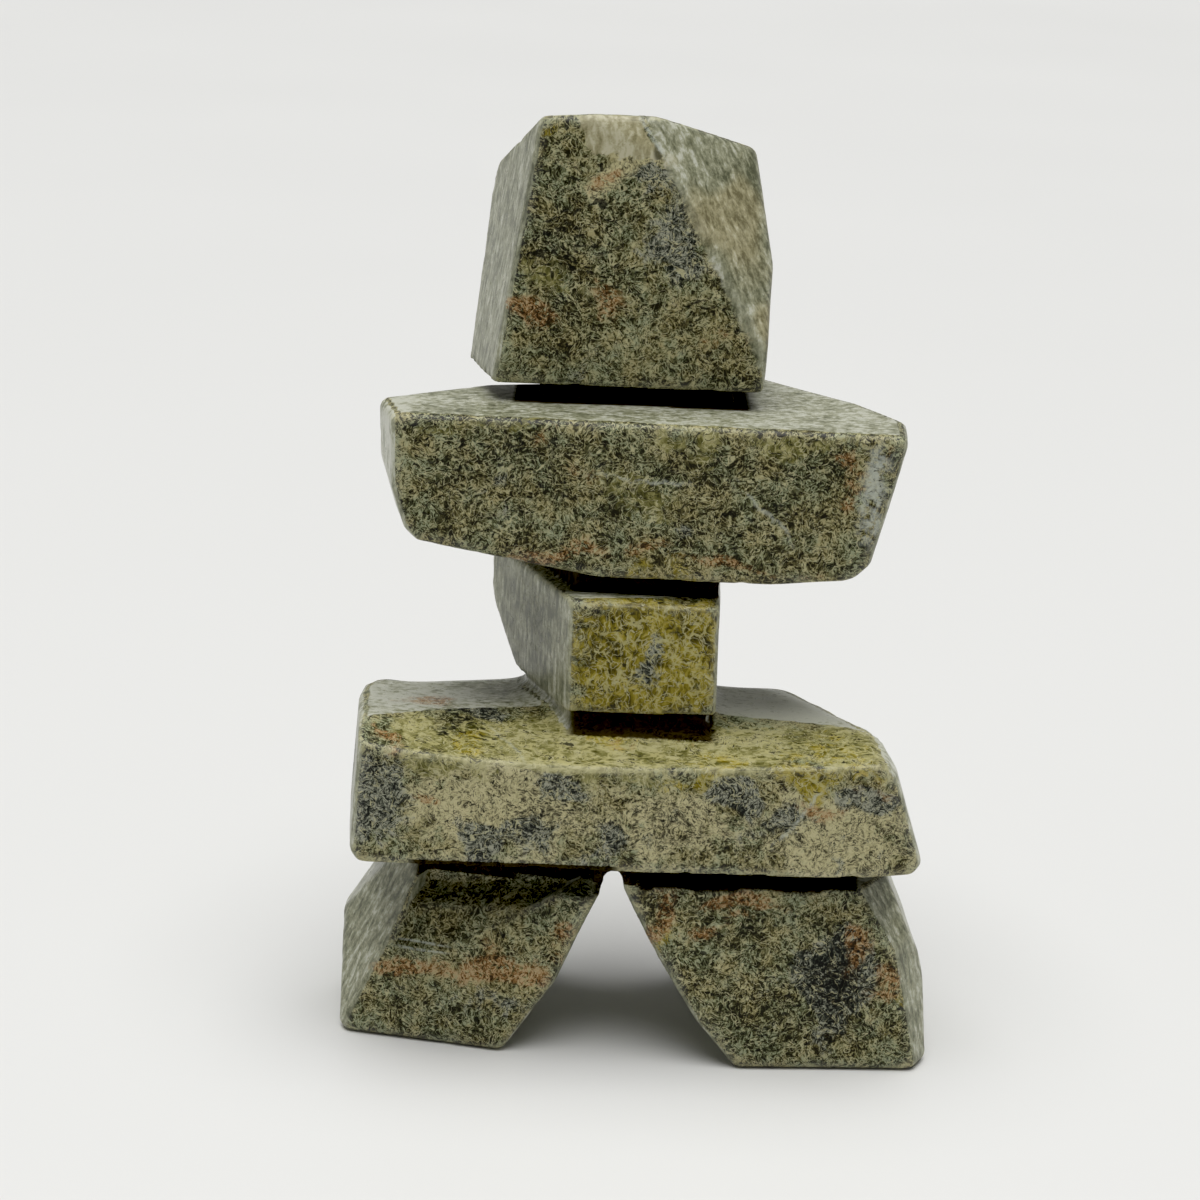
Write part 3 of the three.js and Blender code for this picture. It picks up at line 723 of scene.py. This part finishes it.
def rockColour(tree, value, name):
    node = put(tree, "ValToRGB", {0: value})
    band = node.color_ramp.elements
    while len(band) < len(stone["tonePlaces"]):
        band.new(0.5)
    for element, at, colour in zip(band, stone["tonePlaces"], stone["rocks"][name]):
        element.position = at
        element.color = (*linear(colour), 1)
    return node.outputs[0]


def zone(tree, name):
    return put(tree, "Attribute", attribute_name=name, attribute_type="GEOMETRY").outputs["Fac"]


def within(tree, where, place, reach):
    away = vectors(tree, "DIVIDE", vectors(tree, "SUBTRACT", where, place), reach)
    return fade(tree, vectors(tree, "LENGTH", away), "within")


# Places, facings and patterns that the layers of the rock share
def readRock(tree):
    place = put(tree, "TexCoord").outputs["Object"]
    where = vectors(tree, "MULTIPLY", place, (1 / mm,) * 3)
    drift = vectors(tree, "SUBTRACT", pattern(tree, where, "drift").outputs["Color"], (0.5,) * 3)
    warped = vectors(tree, "ADD", where, vectors(tree, "MULTIPLY", drift, (stone["pull"],) * 3))
    facing = put(tree, "SeparateXYZ", {0: put(tree, "NewGeometry").outputs["Normal"]}).outputs
    leaning = fade(tree, facing[2], "leaning")
    ways = {0: leaning, 4: stone["upright"], 5: stone["sideways"]}
    pulled = put(tree, "Mix", ways, data_type="VECTOR").outputs[1]
    return {
        "where": where,
        "warped": warped,
        "drawnOut": vectors(tree, "MULTIPLY", warped, pulled),
        "facing": facing,
        "leaning": leaning,
        "onFront": fade(tree, facing[1], "onFront"),
        "fine": grain(tree, warped, "fine"),
        "middle": grain(tree, warped, "middle"),
        "patch": grain(tree, where, "patch"),
        "mottle": grain(tree, where, "mottle"),
        "border": grain(tree, warped, "border"),
        "veinGaps": fade(tree, grain(tree, where, "veinGaps"), "veinGaps"),
    }


# Where the grain lies between its darkest and its palest, in the rough rock and in the yellow
def liftGrain(tree, rock):
    lift = stone["lift"]
    level = add(tree, zone(tree, "dark"), lift["dark"], 0.5)
    level = add(tree, zone(tree, "pale"), lift["pale"], level)
    for name in ("middle", "patch", "mottle"):
        level = sway(tree, rock[name], lift[name], level)
    # painted light: paler where the face leans back
    yellow = add(tree, rock["leaning"], lift["leaning"], level)
    yellow = sway(tree, grain(tree, rock["drawnOut"], "yellow"), lift["yellow"], yellow)
    level = sway(tree, rock["fine"], lift["fine"], level)
    for start, height in zip(stone["curlStarts"], lift["curls"]):
        curls = grain(tree, vectors(tree, "ADD", rock["warped"], (start,) * 3), "curl")
        line = step(tree, fromMiddle(tree, curls), *stone["curlLine"], height)
        level = sums(tree, "ADD", level, line)
    return level, yellow


# Green rock that drifts between yellow and grey, and the other kinds with ragged borders
def mixRocks(tree, rock, level, yellow):
    hue = fade(tree, grain(tree, rock["where"], "hue"), "hue")
    shade = blend(tree, hue, tint("coolRock"), tint("warmRock"))
    colour = multiply(tree, rockColour(tree, level, "green"), shade)
    kinds = (("cream", level), ("olive", yellow), ("ochre", yellow), ("slate", level))
    for name, tone in kinds:
        ragged = sway(tree, rock["border"], stone["raggedRock"], zone(tree, name))
        colour = blend(tree, fade(tree, ragged, "rock"), colour, rockColour(tree, tone, name))
    return colour


def addThreads(tree, rock, colour):
    threads = fade(tree, fromMiddle(tree, grain(tree, rock["warped"], "thread")), "threadLine")
    kept = times(tree, threads, fade(tree, rock["border"], "threadPlace"))
    return blend(tree, kept, colour, tint("thread"))


def addCracks(tree, rock, colour):
    cracks = fade(tree, fromMiddle(tree, grain(tree, rock["warped"], "crack")), "crackLine")
    torn = add(tree, zone(tree, "slate"), stone["cracksInSlate"], rock["patch"])
    kept = times(tree, cracks, fade(tree, torn, "crackPlace"))
    return blend(tree, kept, colour, tint("black"))


# Net of cream veins in the yellow rock
def addNet(tree, rock, colour):
    fray = pattern(tree, rock["where"], "fray").outputs["Color"]
    fray = vectors(tree, "MULTIPLY", fray, (stone["netFray"],) * 3)
    sockets = {"Vector": vectors(tree, "ADD", rock["drawnOut"], fray), "Scale": stone["net"]}
    cells = put(tree, "TexVoronoi", sockets, feature="DISTANCE_TO_EDGE").outputs["Distance"]
    thickness = fade(tree, grain(tree, rock["where"], "netWidth"), "netWidth")
    net = fade(tree, sums(tree, "SUBTRACT", cells, thickness), "netLine")
    yellowZone = sums(tree, "MAXIMUM", zone(tree, "ochre"), zone(tree, "olive"))
    return blend(tree, times(tree, net, fade(tree, yellowZone, "netPlace")), colour, tint("net"))


def addVeins(tree, rock, colour):
    where = rock["where"]
    wander = sway(tree, grain(tree, where, "veinWander"), stone["veinWander"], 0.0)
    outer, inner = stone["veinEdge"]
    for vein in stone["veins"]:
        height = sums(tree, "ADD", beyond(tree, where, vein["point"], vein["square"]), wander)
        off = sums(tree, "ABSOLUTE", height)
        sheet = step(tree, off, vein["half"] * outer, vein["half"] * inner)
        near = within(tree, where, vein["place"], vein["reach"])
        kept = times(tree, sheet, rock["veinGaps"], near, vein["strength"])
        colour = blend(tree, kept, colour, tint("vein"))
    return colour


# Black flecks, thick where the rock is dark
def findFlecks(tree, rock):
    turned = {"Vector": rock["warped"], "Rotation": (0, stone["fleckTurn"], 0)}
    slanted = put(tree, "Mapping", {**turned, "Scale": stone["fleckScale"]}).outputs[0]
    start = add(tree, zone(tree, "dark"), stone["fleckInDark"], stone["fleckStart"])
    return fade(tree, sums(tree, "SUBTRACT", grain(tree, slanted, "fleck"), start), "fleck")


# Where the stone is rubbed smooth: its sides, its tops and the head's right facet. The sides and tops
# are painted pale there as a painted reflection of the bright room.
def findSmoothSheen(tree, rock):
    facet = stone["headFacet"]
    ragged = sway(tree, rock["fine"], stone["raggedSmoothSheen"], zone(tree, "smoothSheen"))
    side = beyond(tree, rock["where"], facet["point"], facet["square"])
    side = fade(tree, sway(tree, rock["middle"], facet["ragged"], side), "headFacet")
    height = put(tree, "SeparateXYZ", {0: rock["where"]}).outputs[2]
    onFacet = times(tree, side, step(tree, height, *facet["heights"]), rock["onFront"])
    return sums(tree, "MAXIMUM", fade(tree, ragged, "smoothSheen"), onFacet)


# Grain of the smooth faces, drawn out, in the pale tones of their painted reflection of the bright room
def liftSheen(tree, rock):
    sheen = stone["sheen"]
    drawn = vectors(tree, "MULTIPLY", rock["where"], stone["rubbedWay"])
    level = sway(tree, grain(tree, drawn, "streak"), sheen["streak"], 0.5)
    # painted light: faces that look up are made paler
    level = sums(tree, "ADD", level, fade(tree, rock["facing"][2], "sheenUp"))
    level = sway(tree, rock["fine"], sheen["fine"], level)
    for name in ("pale", "dark"):
        level = add(tree, zone(tree, name), sheen[name], level)
    for name in ("patch", "middle", "mottle"):
        level = sway(tree, rock[name], sheen[name], level)
    return level


# Lays the smooth faces' tones over the rock: tan where the rock is cream, else pale as a painted reflection
def rubAndSheenFaces(tree, smoothSheen, sheen, colour):
    tan = fade(tree, zone(tree, "cream"), "tan")
    rubbedSheen = blend(tree, tan, rockColour(tree, sheen, "smoothSheen"), rockColour(tree, sheen, "chip"))
    return blend(tree, times(tree, smoothSheen, stone["strengths"]["rubbedSheen"]), colour, rubbedSheen)


def addHeadChip(tree, rock, sheen, colour):
    chip = stone["headChip"]
    where = rock["where"]
    edges = [beyond(tree, where, point, inward) for point, inward in chip["edges"]]
    inside = edges[0]
    for edge in edges[1:]:
        inside = sums(tree, "MINIMUM", inside, edge)
    inside = sway(tree, rock["middle"], chip["ragged"], inside)
    chipped = times(tree, fade(tree, inside, "chip"), rock["onFront"])
    colour = blend(tree, chipped, colour, rockColour(tree, sheen, "chip"))
    # the pale rim along the right edge is a painted highlight
    off = sums(tree, "ABSOLUTE", sums(tree, "ADD", edges[-1], chip["rimOffset"]))
    rim = times(tree, fade(tree, off, "chipRim"), rock["veinGaps"], within(tree, where, *chip["rim"]))
    colour = blend(tree, rim, colour, tint("vein"))
    wedge = times(tree, chipped, within(tree, where, *chip["wedge"]), stone["strengths"]["wedge"])
    return blend(tree, wedge, colour, tint("wedge"))


def addRust(tree, rock, level, colour):
    ragged = sway(tree, rock["border"], stone["raggedRust"], zone(tree, "rust"))
    speckled = fade(tree, grain(tree, rock["warped"], "speckle"), "speckle")
    stained = times(tree, fade(tree, ragged, "rust"), speckled)
    return blend(tree, stained, colour, rockColour(tree, level, "rust"))


def addWear(tree, rock, colour):
    worn = zone(tree, "worn")
    colour = blend(tree, times(tree, worn, stone["strengths"]["wear"]), colour, tint("wornRock"))
    line = fade(tree, sway(tree, rock["middle"], stone["raggedWear"], worn), "wear")
    return blend(tree, line, colour, tint("thread"))


# Painted shade on the walls of the saw cuts, beside the painted shade on the sawn faces below them
def findCutShade(tree, rock):
    cutShade = stone["cutShade"]
    up = put(tree, "CombineXYZ", {2: sway(tree, rock["fine"], cutShade["ragged"], 0.0)}).outputs[0]
    ragged = vectors(tree, "ADD", rock["where"], up)
    right, back, height = put(tree, "SeparateXYZ", {0: ragged}).outputs
    wall = fade(tree, rock["facing"][2], "cutWall")
    front = fade(tree, rock["facing"][1], "cutFront")
    foot, roof = cutShade["footFade"], cutShade["roofFade"]
    black = zone(tree, "cut")
    for cut in stone["cuts"]:
        low, high = cut["heights"]
        start, end = cut["across"]
        inside = times(
            tree,
            step(tree, height, low + foot[0], low + foot[1]),
            step(tree, height, high + roof[0], high + roof[1]),
            front if cut["facing"] else wall,
            step(tree, back, cut["front"], cut["front"] + cutShade["frontFade"]),
            step(tree, right, start, start + cutShade["fade"]),
            step(tree, right, end, end - cutShade["fade"]),
        )
        black = sums(tree, "MAXIMUM", black, inside)
    return black


def findScratches(tree, rock):
    scratches = stone["scratches"]
    half = scratches["half"]
    near = within(tree, rock["where"], scratches["place"], scratches["reach"])
    height = beyond(tree, rock["where"], scratches["place"], (0, 0, 1))
    apart = sums(tree, "SUBTRACT", sums(tree, "ABSOLUTE", height), scratches["spacing"] / 2)
    outer, inner = scratches["edge"]
    line = step(tree, sums(tree, "ABSOLUTE", apart), half * outer, half * inner)
    return times(tree, line, near, fade(tree, rock["fine"], "scratch"))


# The polish, duller on worn edges and in the cuts, with pitted flecks and faint sanding
def makeSurface(tree, rock, smoothSheen, fleck, cutShade, scratch, colour):
    surface = stone["surface"]
    rough = add(tree, grain(tree, rock["where"], "polish"), surface["roughPolish"], surface["rough"])
    rough = add(tree, fleck, surface["roughFleck"], rough)
    rough = add(tree, zone(tree, "worn"), surface["roughWorn"], rough)
    rough = add(tree, cutShade, surface["roughCutShade"], rough)
    height = add(tree, rock["fine"], surface["bumpFine"], times(tree, fleck, surface["bumpFleck"]))
    height = add(tree, scratch, surface["bumpScratch"], height)
    bump = {"Strength": surface["bump"], "Distance": surface["bumpDepth"] * mm, "Height": height}
    gloss = add(tree, smoothSheen, surface["glossSmooth"], surface["gloss"])
    gloss = times(tree, gloss, add(tree, cutShade, surface["glossCutShade"], 1.0))
    look = {
        "Base Color": colour,
        "Roughness": rough,
        "Specular IOR Level": gloss,
        "Normal": put(tree, "Bump", bump).outputs[0],
        "IOR": surface["refraction"],
    }
    return put(tree, "BsdfPrincipled", look)


def makeSerpentine():
    material = bpy.data.materials.new("serpentine")
    material.use_nodes = True
    tree = material.node_tree
    tree.nodes.clear()
    strengths = stone["strengths"]

    rock = readRock(tree)
    level, yellow = liftGrain(tree, rock)
    colour = mixRocks(tree, rock, level, yellow)
    for addTo in (addThreads, addCracks, addNet, addVeins):
        colour = addTo(tree, rock, colour)
    fleck = findFlecks(tree, rock)
    colour = blend(tree, times(tree, fleck, strengths["fleck"]), colour, tint("black"))

    # smooth faces, with a painted reflection of the bright room on the sides and tops
    smoothSheen = findSmoothSheen(tree, rock)
    sheen = liftSheen(tree, rock)
    colour = rubAndSheenFaces(tree, smoothSheen, sheen, colour)
    colour = addHeadChip(tree, rock, sheen, colour)
    colour = addRust(tree, rock, level, colour)
    colour = addWear(tree, rock, colour)
    colour = vectors(tree, "MULTIPLY", colour, (stone["brightness"],) * 3)

    # painted shade in the saw cuts, which also dulls the polish there
    cutShade = findCutShade(tree, rock)
    cutShadedColour = vectors(tree, "MULTIPLY", colour, stone["cutShade"]["left"])
    colour = blend(tree, cutShade, colour, cutShadedColour)
    scratch = findScratches(tree, rock)
    colour = blend(tree, times(tree, scratch, strengths["scratch"]), colour, tint("vein"))

    shader = makeSurface(tree, rock, smoothSheen, fleck, cutShade, scratch, colour)
    tree.links.new(shader.outputs[0], put(tree, "OutputMaterial").inputs["Surface"])
    return material


carvedStone.data.materials.clear()
carvedStone.data.materials.append(makeSerpentine())
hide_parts("inukshuk")
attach(carvedStone, "root")
print("serpentine made")


# The studio. The room's light comes from the sides, from behind and from the ceiling: each has where
# it sets in, where it is full, both as shares of the way round, and how bright it gets.
studio = {
    "floorColour": (219, 219, 217),
    "floorHalf": 6000,
    "floorRough": 0.45,
    "floorClouds": 3.0,             # to a metre
    "cloudDetail": 3.0,
    "cloudRough": 0.1,
    "sides": (0.35, 0.85, 0.7),
    "behind": (0.1, 0.7, 0.27),
    "lowDown": (0.6, 0.25),         # sides and back are bright only this far up
    "ceiling": (0.2, 0.6, 0.12),
    "nearSide": 0.05,               # and this is left behind the camera
    "roomColour": (1.0, 1.0, 0.985, 1),
    "keyPower": 3.4,                # broad light from above
    "keyAngle": 54,
    "keyLean": 5,                   # degrees off upright, to the front
    "blackLevel": 0.008,            # darker than this prints as black
}


def makeFloor():
    half = studio["floorHalf"] * mm
    corners = [(-half, -half, 0), (half, -half, 0), (half, half, 0), (-half, half, 0)]
    mesh = bpy.data.meshes.new("floor")
    mesh.from_pydata(corners, [], [(0, 1, 2, 3)])
    floor = bpy.data.objects.new("floor", mesh)
    bpy.context.scene.collection.objects.link(floor)
    material = bpy.data.materials.new("paperFloor")
    material.use_nodes = True
    tree = material.node_tree
    shader = tree.nodes["Principled BSDF"]
    where = put(tree, "TexCoord").outputs["Object"]
    sockets = {"Vector": where, "Scale": studio["floorClouds"], "Detail": studio["cloudDetail"]}
    clouds = put(tree, "TexNoise", sockets).outputs[0]
    rough = add(tree, clouds, studio["cloudRough"], studio["floorRough"])
    shader.inputs["Base Color"].default_value = (*linear(studio["floorColour"]), 1)
    tree.links.new(rough, shader.inputs["Roughness"])
    mesh.materials.append(material)


def makeRoom():
    world = bpy.data.worlds.new("room")
    bpy.context.scene.world = world
    world.use_nodes = True
    tree = world.node_tree
    tree.nodes.clear()
    ways = put(tree, "SeparateXYZ", {0: put(tree, "TexCoord").outputs["Generated"]}).outputs
    beside = step(tree, sums(tree, "ABSOLUTE", ways[0]), *studio["sides"])
    behind = step(tree, ways[1], *studio["behind"])
    low = step(tree, ways[2], *studio["lowDown"])
    level = add(tree, sums(tree, "MAXIMUM", beside, behind), low, studio["nearSide"])
    light = sums(tree, "MAXIMUM", level, step(tree, ways[2], *studio["ceiling"]))
    room = put(tree, "Background", {"Color": studio["roomColour"], "Strength": light})
    tree.links.new(room.outputs[0], put(tree, "OutputWorld").inputs["Surface"])


def makeKey():
    light = bpy.data.lights.new("softbox", "SUN")
    light.angle = math.radians(studio["keyAngle"])
    light.energy = studio["keyPower"]
    key = bpy.data.objects.new("softbox", light)
    lean = math.radians(studio["keyLean"])
    towards = Vector((0, -math.sin(lean), math.cos(lean)))
    key.rotation_euler = towards.to_track_quat("Z", "Y").to_euler()
    bpy.context.scene.collection.objects.link(key)


def setFilm():
    film = bpy.context.scene.view_settings
    film.view_transform = "Standard"
    film.use_curve_mapping = True
    film.curve_mapping.black_level = (studio["blackLevel"],) * 3
    film.curve_mapping.update()


makeFloor()
makeRoom()
makeKey()
setFilm()
print("studio set")


camera = {
    "lens": 78.0,
    "sensor": 36,
    "place": (-7.2, -411.6, 194.0),
    "down": 16.6,                   # degrees below the horizon
    "roll": 2.0,                    # the picture's right side sits lower
    "clip": (0.01, 50),             # metres
}


def makeCamera():
    eye = bpy.data.objects.new("camera", bpy.data.cameras.new("camera"))
    eye.data.lens = camera["lens"]
    eye.data.sensor_width = camera["sensor"]
    eye.data.clip_start, eye.data.clip_end = camera["clip"]
    tilt = Euler((math.radians(90 - camera["down"]), 0, 0)).to_matrix().to_4x4()
    roll = Matrix.Rotation(math.radians(camera["roll"]), 4, "Z")
    eye.matrix_world = Matrix.Translation(Vector(camera["place"]) * mm) @ tilt @ roll
    bpy.context.scene.collection.objects.link(eye)
    bpy.context.scene.camera = eye


makeCamera()
print("camera placed")
